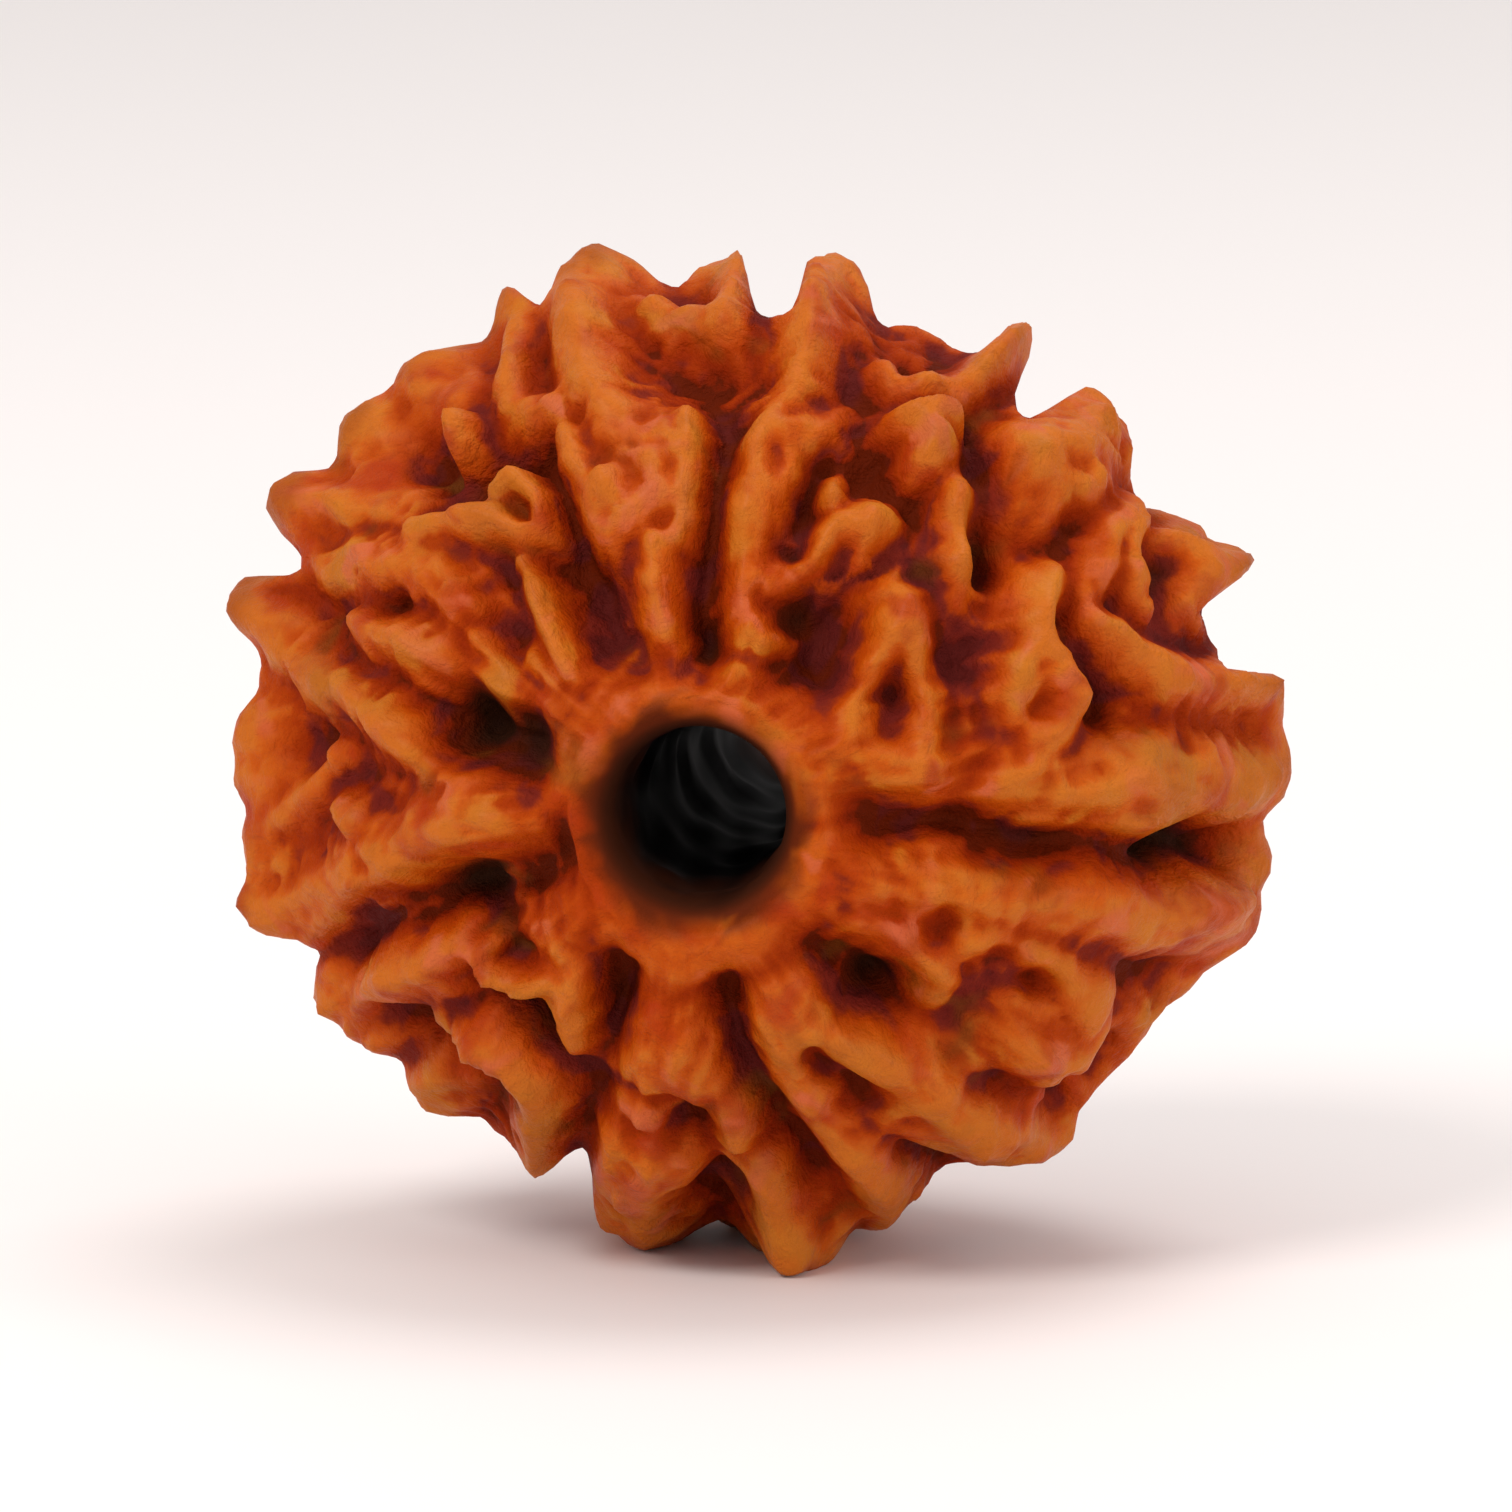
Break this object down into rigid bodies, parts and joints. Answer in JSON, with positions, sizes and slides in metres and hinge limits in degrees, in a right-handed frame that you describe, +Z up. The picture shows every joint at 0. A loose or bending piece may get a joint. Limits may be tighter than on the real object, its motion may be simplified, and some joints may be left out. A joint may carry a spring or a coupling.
{
  "type": "rudraksha bead",
  "caption": "Large rudraksha bead with deep meridian grooves, knobbly ridges and spines round a smooth-lipped stringing hole.",
  "frame": {"origin": "middle of the bounding box, at the height of the surface that the bead stands on", "axes": "+Z up, the stringing hole runs along Y with its pictured mouth towards -Y, +X to the right as seen from that mouth"},
  "size_m": [0.0299, 0.0216, 0.0281],
  "materials": {
    "shell": "dry grown shell with a soft oily sheen, orange on the crests and dark red-brown in the grooves"
  },
  "bodies": {
    "root": {"bead": "shell"}
  },
  "joints": []
}
